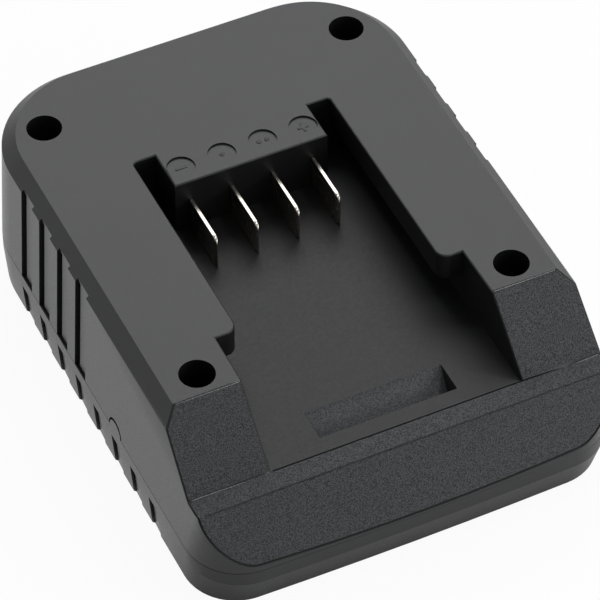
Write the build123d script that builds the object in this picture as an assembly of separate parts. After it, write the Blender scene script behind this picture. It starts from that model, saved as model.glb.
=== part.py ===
from build123d import *
import os

# Charging dock for a slide-on tool battery. Millimetres, +Z up, -Y the end where the battery slides in.
# The origin is on the surface that the feet stand on, under the middle of the body.

# Body
body_width = 93.2
rear_length = 34.0
upper_height = 27.5
lower_height = 11.7
front_radius = 12.0
rear_radius = 23.1
corner_taper = 8.0
corner_least = 0.5
front_bow = 0.8
wall_draft = 1.1
edge_chamfer = 3.0
seam_chamfer = 0.12

# Shell walls
wall = 2.4
roof = 2.4
base_thickness = 2.4
bend_height = 8.3
side_tuck = 0.6
front_tuck = 1.9
underside_chamfer = 0.6
step_thickness = 1.0
step_rise = 0.9
step_clearance = 0.15

# Front of the upper shell, from the front wall backwards
face_run = 7.0
face_margin = 0.75
shelf_depth = 4.7
slope_run = 13.8

# Battery slot
slot_depth = 13.2
slot_length = 64.3
floor_thickness = 2.6
rail_gap = 45.0
track_width = 55.0
rail_thickness = 6.5
rail_setback = 12.6
rail_nose_radius = 2.5
mouth_flare = 0.6
slot_wall = 2.2
floor_gap_width = 0.35
floor_gap_depth = 0.5
latch_width = 30.6
latch_length = 7.3
latch_depth = 5.6
latch_ramp = 3.3
latch_setback = 4.0
latch_wall = 2.0

# Terminal tongue
tongue_width = 34.8
tongue_length = 9.9
tongue_wall = 2.0
channel_radius = 1.0
mark_radius = 3.05
mark_depth = 0.4
mark_setback = 4.6

# Contact blades
blade_count = 4
blade_pitch = 9.3
blade_thickness = 0.8
blade_reach = 13.1
blade_height = 7.9
blade_lift = 0.2
blade_nose_radius = 1.8
blade_heel_radius = 0.8
blade_lead = 0.25
blade_lead_length = 0.8
blade_seat = 6.6
tail_width = 3.0
tail_length = 1.0
blade_clearance = 0.1

# Carrier that holds the blades
carrier_depth = 7.6
carrier_cover = 1.8
carrier_drop = 1.2
carrier_clearance = 0.15

# Screw wells and the bosses under them
well_radius = 3.75
well_inset = 11.7
well_setback = 5.4
well_rear_inset = 16.7
boss_wall = 1.85
boss_rise = 2.0
seat_thickness = 3.2
lower_boss_radius = 4.2
screw_head_radius = 3.2
screw_head_height = 2.4
screw_radius = 1.7
screw_grip = 9.0
screw_clearance = 0.05
hole_clearance = 0.2

# Side vents
vent_pitch = 9.25
vent_rear_inset = 29.1
upper_vent_count = 4
lower_vent_count = 8
scoop_run = 5.4
scoop_depth = 0.6
scoop_step = 0.55
lower_scoop_run = 4.2
lower_scoop_depth = 0.6
lower_scoop_step = 0.3
upper_slit = 1.35
lower_slit = 0.7
slit_toe_height = 0.45
lower_vent_drop = 3.0

# Half-round tab that closes the notch in the left wall
tab_radius = 2.6
tab_gap = 0.5
tab_vent = 5
tab_offset = 2.0

# Feet
foot_radius = 4.5
foot_drop = 0.8
foot_seat = 1.0
foot_inset_x = 13.0
foot_inset_y = 18.0
foot_chamfer = 0.3
foot_clearance = 0.1

# Circuit board
standoff_height = 6.7
standoff_radius = 3.2
board_thickness = 1.6
board_front_inset = 18.2
board_clearance = 1.2
standoff_inset = 4.6
board_screw_head_radius = 2.6
board_screw_head_height = 1.7
board_screw_radius = 1.4
board_screw_grip = 4.5

# Low-voltage inlet
inlet_width = 9.0
inlet_length = 14.4
inlet_height = 11.0
inlet_axis_height = 6.5
inlet_bore_radius = 3.15
inlet_bore_depth = 10.0
inlet_pin_radius = 1.05
inlet_pin_setback = 1.0
inlet_pin_root = 2.5
inlet_spring_thickness = 0.4
inlet_spring_length = 7.0
inlet_spring_height = 2.4
inlet_spring_setback = 2.2
inlet_fit = 0.05
inlet_gap = 0.6
inlet_hole_radius = 4.0

# Parts on the board
part_gap = 0.05
inductor_size = 18.0
inductor_height = 9.0
inductor_corner = 4.0
inductor_cap_radius = 6.5
inductor_cap_rise = 0.5
capacitor_radius = 5.0
input_capacitor_height = 12.5
output_capacitor_height = 11.0
crimp_depth = 0.5
crimp_height = 2.2
crimp_width = 1.0
capacitor_chamfer = 0.7
device_width = 10.2
device_length = 9.0
device_height = 4.4
device_chamfer = 0.8
device_spacing = 13.0
lead_pitch = 2.54
lead_width = 0.8
lead_length = 2.2
lead_thickness = 0.5
pad_thickness = 0.5
sink_width = 20.0
sink_length = 32.0
sink_base = 2.0
sink_fin = 1.2
sink_fin_count = 6
sink_headroom = 1.4
sink_leg = 1.6
chip_width = 3.9
chip_length = 9.9
chip_height = 1.5
chip_lift = 0.15
chip_lead_count = 8
chip_lead_pitch = 1.27
chip_lead_width = 0.42
chip_lead_span = 6.0
chip_lead_thickness = 0.2
chip_lead_height = 0.8
fuse_length = 20.0
fuse_radius = 2.3
fuse_cap_radius = 2.6
fuse_cap_length = 5.0
fuse_lift = 1.0
clip_thickness = 0.5
clip_clearance = 0.1
clip_rise = 1.2

# Places on the board: insets from its long edges, gaps in front of the blades' tails or the sink
capacitor_inset = 11.5
capacitor_setback = 18.0
fuse_inset = 9.5
fuse_gap = 3.5
inductor_inset = 19.5
inductor_gap = 2.0
sink_inset = 12.5
sink_gap = 10.5
chip_offset = 2.0
chip_gap = 16.5

# Spare length of cutting tools
over = 1.0

# Levels
underside = foot_drop
bend = underside + bend_height
seam = underside + lower_height
top = seam + upper_height
inner_floor = underside + base_thickness
slot_floor = top - slot_depth
floor_under = slot_floor - floor_thickness
rail_under = top - rail_thickness
ceiling = top - roof
boss_joint = seam + boss_rise
screw_seat = boss_joint + seat_thickness
board_under = inner_floor + standoff_height
board_top = board_under + board_thickness
inlet_axis = board_top + inlet_axis_height
blade_low = slot_floor + blade_lift
blade_high = blade_low + blade_height
chamfer_foot = top - edge_chamfer

# Places along the body
half_width = body_width / 2
body_length = face_run + shelf_depth + slope_run + slot_length + rear_length
front_y = -body_length / 2
rear_y = body_length / 2
shelf_y = front_y + face_run
lip_y = shelf_y + shelf_depth
slope_top_y = lip_y + slope_run
slot_back = slope_top_y + slot_length
tongue_front = slot_back - tongue_length
rail_end = slope_top_y + rail_setback
latch_front = lip_y + latch_setback
latch_rear = latch_front + latch_length
latch_floor = slot_floor - latch_depth
well_x = half_width - well_inset
well_front_y = slope_top_y + well_setback
well_rear_y = rear_y - well_rear_inset
boss_radius = well_radius + boss_wall
pocket_half = tongue_width / 2 - tongue_wall
carrier_front = tongue_front + tongue_wall + carrier_clearance
blade_root = carrier_front + blade_seat
blade_tip = tongue_front - blade_reach
tail_bottom = board_under - tail_length
inlet_face = rear_y - wall - inlet_gap
board_half = well_x - lower_boss_radius - board_clearance
board_rear = rear_y - wall - board_clearance
board_front = front_y + board_front_inset
tail_front = blade_root - tail_width
fuse_x = board_half - fuse_inset
fuse_y = tail_front - fuse_gap - fuse_length / 2
sink_x = sink_inset - board_half
sink_y = tail_front - sink_gap - sink_length / 2
inductor_x = board_half - inductor_inset
inductor_y = sink_y - sink_length / 2 - inductor_gap - inductor_size / 2
chip_y = tail_front - chip_gap - chip_length / 2
vent_rear_y = rear_y - vent_rear_inset

well_places = [(side * well_x, y) for side in (-1, 1) for y in (well_front_y, well_rear_y)]
blade_places = [(index - (blade_count - 1) / 2) * blade_pitch for index in range(blade_count)]
standoff_places = [
    (side * (board_half - standoff_inset), y)
    for side in (-1, 1)
    for y in (board_front + standoff_inset, board_rear - standoff_inset)
]
tab_y = vent_rear_y - tab_vent * vent_pitch - tab_offset
tongue_points = [
    (tongue_width / 2, slot_back),
    (tongue_width / 2, tongue_front),
    (-tongue_width / 2, tongue_front),
    (-tongue_width / 2, slot_back),
]


def block(x_range, y_range, z_range):
    """A box given by its two ends along each axis."""
    low = (x_range[0], y_range[0], z_range[0])
    size = (x_range[1] - low[0], y_range[1] - low[1], z_range[1] - low[2])
    return Pos(*low) * Box(*size, align=(Align.MIN, Align.MIN, Align.MIN))


def post(x, y, z_range, radius):
    """An upright cylinder between two levels."""
    height = z_range[1] - z_range[0]
    return Pos(x, y, z_range[0]) * Cylinder(radius, height, align=(Align.CENTER, Align.CENTER, Align.MIN))


def plate(points, z_range):
    """An outline in plan, raised between two levels."""
    height = z_range[1] - z_range[0]
    return Pos(0, 0, z_range[0]) * extrude(Polygon(*points, align=None), height, dir=(0, 0, 1))


def profile_x(points, half_span):
    """An outline in side view, spread to both sides of the middle plane."""
    return extrude(Plane.YZ * Polygon(*points, align=None), half_span, both=True)


def turned(points):
    """A half section in X and Z, turned round the Z axis."""
    return revolve(Plane.XZ * Polygon(*points, align=None), Axis.Z)


def body_outline(level, inset=0.0, front_inset=0.0, front_corner=front_radius):
    """The plan of the body at one level, with a bowed front and rounded corners."""
    half = half_width - inset
    front = front_y + inset + front_inset
    back = rear_y - inset
    end = front + front_bow
    edges = Curve() + [
        ThreePointArc((-half, end), (0, front), (half, end)),
        Line((half, end), (half, back)),
        Line((half, back), (-half, back)),
        Line((-half, back), (-half, end)),
    ]
    face = make_face(edges)
    face = fillet(face.vertices().sort_by(Axis.Y)[:2], max(front_corner - inset, corner_least))
    face = fillet(face.vertices().sort_by(Axis.Y)[-2:], rear_radius - inset)
    return Pos(0, 0, level) * face


def drafted(inset, low, high):
    """The drafted upper wall, inset by a thickness, between two levels. Its front corners tighten upwards."""
    sections = []
    for level in (low, high):
        rise = (level - seam) / (chamfer_foot - seam)
        corner = front_radius - corner_taper * rise
        sections.append(body_outline(level, inset + wall_draft * rise, 0.0, corner))
    return loft(sections, ruled=True)


def wall_x(level):
    """The half width of the outer wall at one level."""
    if level >= seam:
        return half_width - wall_draft * (level - seam) / (chamfer_foot - seam)
    return half_width - side_tuck * max(bend - level, 0.0) / bend_height


def front_region():
    """The side view of everything in front of the slopes, the shelf and the front face."""
    slope = slope_run / slot_depth
    toe_drop = (slot_floor - seam - face_margin) / face_run * over
    return Polygon(
        (slope_top_y + slope * over, top + over),
        (lip_y, slot_floor),
        (shelf_y, slot_floor),
        (front_y - over, seam + face_margin - toe_drop),
        (front_y - over, top + over),
        align=None,
    )


def front_cut(depth):
    """The front region taken deeper by a wall, across the whole width."""
    region = front_region()
    if depth:
        region = offset(region, depth, kind=Kind.INTERSECTION)
    return extrude(Plane.YZ * region, half_width + over, both=True)


def slot_cut():
    """The battery slot between the rails, its mouth and the tracks under the rails."""
    rail_half = rail_gap / 2
    track_half = track_width / 2
    far = front_y - over
    mouth_half = track_half + mouth_flare
    slot_points = [
        (-rail_half, slot_back),
        (-rail_half, rail_end),
        (-track_half, rail_end),
        (-mouth_half, far),
        (mouth_half, far),
        (track_half, rail_end),
        (rail_half, rail_end),
        (rail_half, slot_back),
    ]
    upper = Polygon(*tongue_points, *slot_points, align=None)
    noses = [v for v in upper.vertices() if abs(abs(v.X) - rail_half) < over and abs(v.Y - rail_end) < over]
    upper = fillet(noses, rail_nose_radius)
    ends = [v for v in upper.vertices() if abs(abs(v.X) - rail_half) < over and abs(v.Y - slot_back) < over]
    upper = fillet(ends, channel_radius)
    upper = Pos(0, 0, slot_floor) * extrude(upper, slot_depth + over, dir=(0, 0, 1))
    tracks = [(-track_half, slot_back), (-track_half, rail_end - over)]
    tracks += [(track_half, rail_end - over), (track_half, slot_back)]
    lower = plate(tongue_points + tracks, (slot_floor, rail_under))
    return upper + lower


def latch_pocket(thickness):
    """The pocket for the battery's latch, with a steep ramp behind it, made larger by a wall."""
    side_view = Polygon(
        (latch_front, slot_floor + over),
        (latch_front, latch_floor),
        (latch_rear - latch_ramp, latch_floor),
        (latch_rear, slot_floor),
        (latch_rear, slot_floor + over),
        align=None,
    )
    if thickness:
        side_view = offset(side_view, thickness, kind=Kind.INTERSECTION)
    return extrude(Plane.YZ * side_view, latch_width / 2 + thickness, both=True)


def scoop(side, rear, run, levels, depth, step):
    """One vent scoop: deepest at its rear edge, rising towards a step at the front."""
    sections = []
    for level in levels:
        skin = wall_x(level)
        points = [
            (side * (skin - depth), rear),
            (side * (skin + over), rear),
            (side * (skin + over), rear - run),
            (side * (skin - step), rear - run),
        ]
        sections.append(Pos(0, 0, level) * Polygon(*points, align=None))
    return loft(sections, ruled=True)


def wall_slit(side, rear, length, levels):
    """A slit right through one side wall."""
    inner = half_width - wall_draft - wall - over
    x_range = sorted((side * inner, side * (half_width + over)))
    return block(x_range, (rear - length, rear), levels)


def upper_vents():
    """Tall scoops with a slit along the rear edge and a low toe along the seam."""
    toe = seam + slit_toe_height
    tools = []
    for side in (-1, 1):
        for index in range(upper_vent_count):
            rear = vent_rear_y - index * vent_pitch
            levels = (toe, chamfer_foot + scoop_depth)
            tools.append(scoop(side, rear, scoop_run, levels, scoop_depth, scoop_step))
            tools.append(wall_slit(side, rear, upper_slit, (seam - over, chamfer_foot)))
            tools.append(wall_slit(side, rear, scoop_run, (seam - over, toe)))
    return tools


def lower_vents():
    """Short scoops that run out at the underside, each with a slit."""
    crest = seam - lower_vent_drop
    tools = []
    for side in (-1, 1):
        for index in range(lower_vent_count):
            rear = vent_rear_y - index * vent_pitch
            levels = (underside - over, crest)
            tools.append(scoop(side, rear, lower_scoop_run, levels, lower_scoop_depth, lower_scoop_step))
            tools.append(wall_slit(side, rear, lower_slit, (inner_floor, crest)))
    return tools


def half_round(radius):
    """A cylinder through the left wall, centred on the seam."""
    length = wall + 2 * over
    place = Pos(length / 2 - over - half_width, tab_y, seam)
    return place * Rot(0, 90, 0) * Cylinder(radius, length)


def top_cavity():
    """The hollow of the upper shell, less the slot walls and the screw bosses."""
    hollow = drafted(wall, seam - over, ceiling)
    hollow -= front_cut(wall)
    rebate = wall - step_thickness - step_clearance
    hollow += Pos(0, 0, seam - over) * extrude(body_outline(0, rebate), over + step_rise + step_clearance)
    slot_half = track_width / 2 + mouth_flare + slot_wall
    hollow -= block((-slot_half, slot_half), (front_y - over, slot_back + slot_wall), (floor_under, top))
    hollow -= latch_pocket(latch_wall)
    hollow -= [post(x, y, (boss_joint, top), boss_radius) for x, y in well_places]
    pocket_rear = slot_back + slot_wall + over
    pocket_front = tongue_front + tongue_wall
    hollow += block((-pocket_half, pocket_half), (pocket_front, pocket_rear), (floor_under - over, ceiling))
    return hollow


def make_top_housing():
    sections = [
        body_outline(seam, seam_chamfer),
        body_outline(seam + seam_chamfer),
        body_outline(chamfer_foot, wall_draft, 0.0, front_radius - corner_taper),
        body_outline(top, wall_draft + edge_chamfer, 0.0, front_radius - corner_taper),
    ]
    shell = loft(sections, ruled=True)
    shell -= front_cut(0.0)
    shell -= slot_cut()
    shell -= top_cavity()
    track_half = track_width / 2
    gap_levels = (slot_floor - floor_gap_depth, slot_floor + over)
    shell -= block((-track_half, track_half), (lip_y, lip_y + floor_gap_width), gap_levels)
    shell -= latch_pocket(0.0)
    mark_y = tongue_front + mark_setback
    shell -= [post(x, mark_y, (top - mark_depth, top + over), mark_radius) for x in blade_places]
    slit_half = blade_thickness / 2 + blade_clearance
    slit_levels = (blade_low - blade_clearance, blade_high + blade_clearance)
    slit_span = (tongue_front - over, tongue_front + tongue_wall + over)
    shell -= [block((x - slit_half, x + slit_half), slit_span, slit_levels) for x in blade_places]
    shell -= [post(x, y, (screw_seat, top + over), well_radius) for x, y in well_places]
    shell -= [post(x, y, (seam, screw_seat), screw_radius + hole_clearance) for x, y in well_places]
    shell -= upper_vents()
    shell -= half_round(tab_radius + tab_gap)
    inlet = Cylinder(inlet_hole_radius, 2 * wall + over)
    shell -= Pos(0, rear_y - wall, inlet_axis) * Rot(90, 0, 0) * inlet
    return shell


def make_bottom_housing():
    sections = [
        body_outline(underside, side_tuck + underside_chamfer, front_tuck),
        body_outline(underside + underside_chamfer, side_tuck, front_tuck),
        body_outline(bend),
        body_outline(seam - seam_chamfer),
        body_outline(seam, seam_chamfer),
    ]
    shell = loft(sections, ruled=True)
    hollow = [body_outline(inner_floor, wall + side_tuck, front_tuck), body_outline(seam + over, wall)]
    shell -= loft(hollow, ruled=True)
    step = body_outline(0, wall - step_thickness) - body_outline(0, wall)
    shell += Pos(0, 0, seam - over) * extrude(step, over + step_rise)
    tab_depth = wall - step_clearance
    tab_span = (tab_y - tab_radius - over, tab_y + tab_radius + over)
    tab_box = block((-half_width, tab_depth - half_width), tab_span, (seam - over, top))
    shell += half_round(tab_radius) & tab_box
    shell += [post(x, y, (inner_floor - over, boss_joint), lower_boss_radius) for x, y in well_places]
    shell += [post(x, y, (inner_floor - over, board_under), standoff_radius) for x, y in standoff_places]
    boss_depth = (boss_joint - screw_grip - screw_clearance, boss_joint + over)
    shell -= [post(x, y, boss_depth, screw_radius + screw_clearance) for x, y in well_places]
    board_depth = (board_under - board_screw_grip - screw_clearance, board_under + over)
    shell -= [post(x, y, board_depth, board_screw_radius + screw_clearance) for x, y in standoff_places]
    shell -= lower_vents()
    seat = (underside - over, underside + foot_seat)
    shell -= [post(x, y, seat, foot_radius + foot_clearance) for x, y in foot_places().values()]
    return shell


def foot_places():
    x = half_width - foot_inset_x
    front = front_y + foot_inset_y
    rear = rear_y - foot_inset_y
    return {
        "foot_front_left": (-x, front),
        "foot_front_right": (x, front),
        "foot_rear_left": (-x, rear),
        "foot_rear_right": (x, rear),
    }


def make_foot(place):
    height = foot_drop + foot_seat
    foot = post(*place, (0, height), foot_radius)
    return chamfer(foot.edges().group_by(Axis.Z)[0], foot_chamfer)


def make_blade(x):
    """A flat contact with a rounded nose and a tail bent down into the board."""
    profile = Polygon(
        (blade_tip, blade_low),
        (blade_tip, blade_high),
        (blade_root, blade_high),
        (blade_root, tail_bottom),
        (tail_front, tail_bottom),
        (tail_front, blade_low),
        align=None,
    )
    nose = [v for v in profile.vertices() if v.X < blade_tip + over and v.Y > blade_high - over]
    profile = fillet(nose, blade_nose_radius)
    heel = [v for v in profile.vertices() if v.X < blade_tip + over and v.Y < blade_low + over]
    profile = fillet(heel, blade_heel_radius)
    half = blade_thickness / 2
    blade = extrude(Plane.YZ * profile, half, both=True)
    lead = [
        (half, blade_root + over),
        (half, blade_tip + blade_lead_length),
        (half - blade_lead, blade_tip),
        (blade_lead - half, blade_tip),
        (-half, blade_tip + blade_lead_length),
        (-half, blade_root + over),
    ]
    return Pos(x, 0, 0) * (blade & plate(lead, (tail_bottom - over, blade_high + over)))


def make_terminal_carrier():
    half = pocket_half - carrier_clearance
    levels = (slot_floor - carrier_drop, blade_high + carrier_cover)
    carrier = block((-half, half), (carrier_front, carrier_front + carrier_depth), levels)
    slot_half = blade_thickness / 2 + blade_clearance
    depth = (carrier_front - over, blade_root + blade_clearance)
    rise = (levels[0] - over, blade_high + blade_clearance)
    return carrier - [block((x - slot_half, x + slot_half), depth, rise) for x in blade_places]


def make_circuit_board():
    outline = body_outline(0, wall + side_tuck + board_clearance / 2)
    sheet = Pos(0, 0, board_under) * extrude(outline, board_thickness)
    board = sheet & block((-board_half, board_half), (board_front, board_rear), (board_under, board_top))
    slot_half = blade_thickness / 2 + hole_clearance
    tail = (tail_front - hole_clearance, blade_root + hole_clearance)
    through = (board_under - over, board_top + over)
    board -= [block((x - slot_half, x + slot_half), tail, through) for x in blade_places]
    board -= [post(x, y, through, board_screw_radius + hole_clearance) for x, y in standoff_places]
    return board


def make_screws(places, seat, head_radius, head_height, radius, reach):
    """Pan-head screws, each with its head on the seat and its shank below it."""
    section = [
        (0, -reach),
        (radius, -reach),
        (radius, 0),
        (head_radius, 0),
        (head_radius, head_height / 2),
        (head_radius - head_height / 2, head_height),
        (0, head_height),
    ]
    screw = turned(section)
    return Compound(children=[Pos(x, y, seat) * screw for x, y in places])


def make_inlet_body():
    y_range = (inlet_face - inlet_length, inlet_face)
    body = block((-inlet_width / 2, inlet_width / 2), y_range, (board_top, board_top + inlet_height))
    bore = Pos(0, inlet_face - inlet_bore_depth / 2 + over / 2, inlet_axis) * Rot(90, 0, 0)
    body -= bore * Cylinder(inlet_bore_radius, inlet_bore_depth + over)
    body -= inlet_rod(inlet_pin_radius + inlet_fit, inlet_fit)
    body -= inlet_leaf(inlet_fit)
    return body


def inlet_rod(radius, spare):
    """The centre contact of the inlet, with spare length for its hole."""
    front = inlet_face - inlet_pin_setback
    back = inlet_face - inlet_bore_depth - inlet_pin_root - spare
    return Pos(0, (front + back) / 2, inlet_axis) * Rot(90, 0, 0) * Cylinder(radius, front - back)


def inlet_leaf(spare):
    """The side contact of the inlet, set in the wall of the bore."""
    outer = inlet_bore_radius + inlet_spring_thickness
    front = inlet_face - inlet_spring_setback
    back = front - inlet_spring_length
    half = inlet_spring_height / 2 + spare
    x_range = (-outer - spare, -inlet_bore_radius + inlet_spring_thickness)
    return block(x_range, (back - spare, front + spare), (inlet_axis - half, inlet_axis + half))


def make_capacitor(side, height):
    """An upright can with a rolled crimp near its foot and a bevelled crown."""
    crimp = crimp_width / 2
    section = [
        (0, 0),
        (capacitor_radius, 0),
        (capacitor_radius, crimp_height - crimp),
        (capacitor_radius - crimp_depth, crimp_height),
        (capacitor_radius, crimp_height + crimp),
        (capacitor_radius, height - capacitor_chamfer),
        (capacitor_radius - capacitor_chamfer, height),
        (0, height),
    ]
    x = side * (board_half - capacitor_inset)
    return Pos(x, board_rear - capacitor_setback, board_top + part_gap) * turned(section)


def make_power_inductor():
    base = RectangleRounded(inductor_size, inductor_size, inductor_corner)
    core = extrude(base, inductor_height)
    core += post(0, 0, (inductor_height, inductor_height + inductor_cap_rise), inductor_cap_radius)
    return Pos(inductor_x, inductor_y, board_top + part_gap) * core


def make_power_device(row):
    """A flat power package with three leads on its front side."""
    half_length = device_length / 2
    section = [
        (-half_length, 0),
        (half_length, 0),
        (half_length, device_height),
        (-half_length + device_chamfer, device_height),
        (-half_length, device_height - device_chamfer),
    ]
    device = profile_x(section, device_width / 2)
    for index in (-1, 0, 1):
        x = index * lead_pitch
        x_range = (x - lead_width / 2, x + lead_width / 2)
        device += block(x_range, (-half_length - lead_length, -half_length), (0, lead_thickness))
    return Pos(sink_x, sink_y + row * device_spacing / 2, board_top + part_gap) * device


def make_thermal_pad():
    low = board_top + 2 * part_gap + device_height
    half = device_width / 2
    half_length = (device_spacing + device_length) / 2
    pad = block((-half, half), (-half_length, half_length), (low, low + pad_thickness))
    return Pos(sink_x, sink_y, 0) * pad


def make_heat_sink():
    """A finned bar over the power devices, standing on a leg at each end."""
    low = board_top + 3 * part_gap + device_height + pad_thickness
    high = floor_under - sink_headroom
    half = sink_width / 2
    half_length = sink_length / 2
    span = (-half_length, half_length)
    sink = block((-half, half), span, (low, low + sink_base))
    step = (sink_width - sink_fin) / (sink_fin_count - 1)
    for index in range(sink_fin_count):
        x = -half + index * step
        sink += block((x, x + sink_fin), span, (low, high))
    for end in (-half_length, half_length - sink_leg):
        sink += block((-half, half), (end, end + sink_leg), (board_top + part_gap, low))
    return Pos(sink_x, sink_y, 0) * sink


def make_control_chip():
    half = chip_width / 2
    half_length = chip_length / 2
    chip = block((-half, half), (-half_length, half_length), (chip_lift, chip_lift + chip_height))
    toe = chip_lead_span / 2
    bend = (half + toe) / 2
    lead = [
        (half, chip_lead_height),
        (bend, chip_lead_height),
        (bend, chip_lead_thickness),
        (toe, chip_lead_thickness),
        (toe, 0),
        (bend - chip_lead_thickness, 0),
        (bend - chip_lead_thickness, chip_lead_height - chip_lead_thickness),
        (half, chip_lead_height - chip_lead_thickness),
    ]
    right = extrude(Plane.XZ * Polygon(*lead, align=None), chip_lead_width / 2, both=True)
    for index in range(chip_lead_count):
        y = (index - (chip_lead_count - 1) / 2) * chip_lead_pitch
        chip += Pos(0, y, 0) * right
        chip += Pos(0, y, 0) * mirror(right, Plane.YZ)
    return Pos(chip_offset, chip_y, board_top + part_gap) * chip


def fuse_axis():
    return board_top + part_gap + clip_thickness + clip_clearance + fuse_cap_radius + fuse_lift


def make_input_fuse():
    half = fuse_length / 2
    inner = half - fuse_cap_length
    section = [
        (0, -half),
        (fuse_cap_radius, -half),
        (fuse_cap_radius, -inner),
        (fuse_radius, -inner),
        (fuse_radius, inner),
        (fuse_cap_radius, inner),
        (fuse_cap_radius, half),
        (0, half),
    ]
    return Pos(fuse_x, fuse_y, fuse_axis()) * Rot(90, 0, 0) * turned(section)


def make_fuse_clips():
    """Two sprung cups that hold the fuse by its caps."""
    inner = fuse_cap_radius + clip_clearance
    outer = inner + clip_thickness
    low = board_top + part_gap - fuse_axis()
    cup = Circle(outer) + Pos(0, low / 2) * Rectangle(2 * inner, -low)
    cup -= Circle(inner)
    cup &= Pos(0, (low + clip_rise) / 2) * Rectangle(2 * outer, clip_rise - low)
    clip = extrude(Plane.XZ * cup, fuse_cap_length / 2, both=True)
    reach = (fuse_length - fuse_cap_length) / 2
    return Compound(children=[Pos(fuse_x, fuse_y + end * reach, fuse_axis()) * clip for end in (-1, 1)])


def make_parts():
    parts = {
        "top_housing": make_top_housing(),
        "bottom_housing": make_bottom_housing(),
        "terminal_carrier": make_terminal_carrier(),
        "circuit_board": make_circuit_board(),
        "power_inductor": make_power_inductor(),
        "input_capacitor": make_capacitor(1, input_capacitor_height),
        "output_capacitor": make_capacitor(-1, output_capacitor_height),
        "power_switch": make_power_device(-1),
        "output_rectifier": make_power_device(1),
        "thermal_pad": make_thermal_pad(),
        "heat_sink": make_heat_sink(),
        "control_chip": make_control_chip(),
        "input_fuse": make_input_fuse(),
        "fuse_clips": make_fuse_clips(),
        "inlet_body": make_inlet_body(),
        "inlet_pin": inlet_rod(inlet_pin_radius, 0.0),
        "inlet_spring": inlet_leaf(0.0),
    }
    blade_names = ("blade_negative", "blade_identity", "blade_balance", "blade_positive")
    for name, x in zip(blade_names, blade_places):
        parts[name] = make_blade(x)
    for name, place in foot_places().items():
        parts[name] = make_foot(place)
    screw_reach = seat_thickness + screw_grip
    parts["housing_screws"] = make_screws(
        well_places, screw_seat, screw_head_radius, screw_head_height, screw_radius, screw_reach
    )
    board_reach = board_thickness + board_screw_grip
    parts["board_screws"] = make_screws(
        standoff_places,
        board_top,
        board_screw_head_radius,
        board_screw_head_height,
        board_screw_radius,
        board_reach,
    )
    return parts


def main():
    os.makedirs("parts", exist_ok=True)
    for name, shape in make_parts().items():
        export_step(shape, os.path.join("parts", name + ".step"))


main()
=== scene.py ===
from math import pi, radians

import bmesh
import bpy
from bpy.props import FloatProperty, FloatVectorProperty, PointerProperty
from mathutils import Matrix, Vector


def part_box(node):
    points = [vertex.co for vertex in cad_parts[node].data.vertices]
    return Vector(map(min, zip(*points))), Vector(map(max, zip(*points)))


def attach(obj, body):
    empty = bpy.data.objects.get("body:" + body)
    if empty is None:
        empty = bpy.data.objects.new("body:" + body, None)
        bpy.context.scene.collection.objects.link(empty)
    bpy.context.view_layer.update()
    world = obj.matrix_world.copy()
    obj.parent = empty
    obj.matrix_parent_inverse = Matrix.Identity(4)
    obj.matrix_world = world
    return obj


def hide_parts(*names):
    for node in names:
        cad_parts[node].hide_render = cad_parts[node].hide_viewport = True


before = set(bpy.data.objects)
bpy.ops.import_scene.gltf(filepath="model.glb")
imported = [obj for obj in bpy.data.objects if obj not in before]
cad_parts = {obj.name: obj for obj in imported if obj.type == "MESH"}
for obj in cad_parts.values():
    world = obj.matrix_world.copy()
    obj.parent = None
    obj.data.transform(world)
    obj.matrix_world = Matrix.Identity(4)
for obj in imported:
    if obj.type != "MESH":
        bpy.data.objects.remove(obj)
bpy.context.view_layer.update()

bl_info = {
    "name": "Charging Dock",
    "version": (1, 0, 0),
    "blender": (4, 5, 0),
    "location": "View3D > Sidebar > Dock",
    "description": "Dresses the solids of a slide-on battery charging dock and sets up its studio",
    "category": "Object",
}

# In metres: a millimetre, how near counts as touching, how near corners are merged
MM = 0.001
NEAR = 0.02 * MM
MERGE = 0.001 * MM

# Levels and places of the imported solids, in metres
TOP_LOW, TOP_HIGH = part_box("top_housing")
TOP = TOP_HIGH.z
SEAM = TOP_LOW.z
SLOT_FLOOR = TOP - 13.2 * MM
SHELF_Y = TOP_LOW.y + 7.0 * MM
LIP_Y = SHELF_Y + 4.7 * MM
SLOPE_TOP_Y = TOP_LOW.y + 25.8 * MM
CHAMFER_FOOT = TOP - 3.0 * MM
TONGUE_FRONT = TOP_HIGH.y - 43.9 * MM
TONGUE_HALF = 17.4 * MM
SLOT_HALF = 28.3 * MM
SLOT_BACK = TONGUE_FRONT + 10.0 * MM
MARK_Y = TONGUE_FRONT + 4.6 * MM
MARK_RADIUS = 3.05 * MM
MARK_FLOOR = TOP - 0.4 * MM
LATCH_DEPTH = 5.6 * MM
GAP_WIDTH = 0.35 * MM
GAP_DEPTH = 0.5 * MM
WELL_RADIUS = 3.75 * MM
WELL_X = 34.9 * MM
WELL_YS = (-31.0 * MM, 45.2 * MM)
LEAD_LENGTH = 2.1 * MM
CHIP_HALF = 1.96 * MM
GLASS_HALF = 4.95 * MM
BLADE_NODES = ("blade_negative", "blade_identity", "blade_balance", "blade_positive")
FOOT_NODES = ("foot_front_left", "foot_front_right", "foot_rear_left", "foot_rear_right")

# Finishes of the upper shell, in the order of its materials: the third is darkened as painted
# shade, the fourth carries painted light
SATIN, TEXTURED, CORE_SIDE_PAINTED_SHADE, RAMP, RUBBED, WALL = range(6)

# How far up a face looks: more than this on a level face, less than this on a wall
LEVEL = 0.9
STEEP = 0.35

# Angles from which an edge stays sharp: as a rule, on coarse roundings, on the lower shell
CREASE = radians(35)
COARSE_CREASE = radians(50)
SHALLOW_CREASE = radians(10)

# Wide flats: the tilt that two faces of one may have, its least area, its border
FLAT_TILT = radians(0.2)
FLAT_AREA = 4 * MM * MM
FLAT_BORDER = 0.05 * MM

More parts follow.
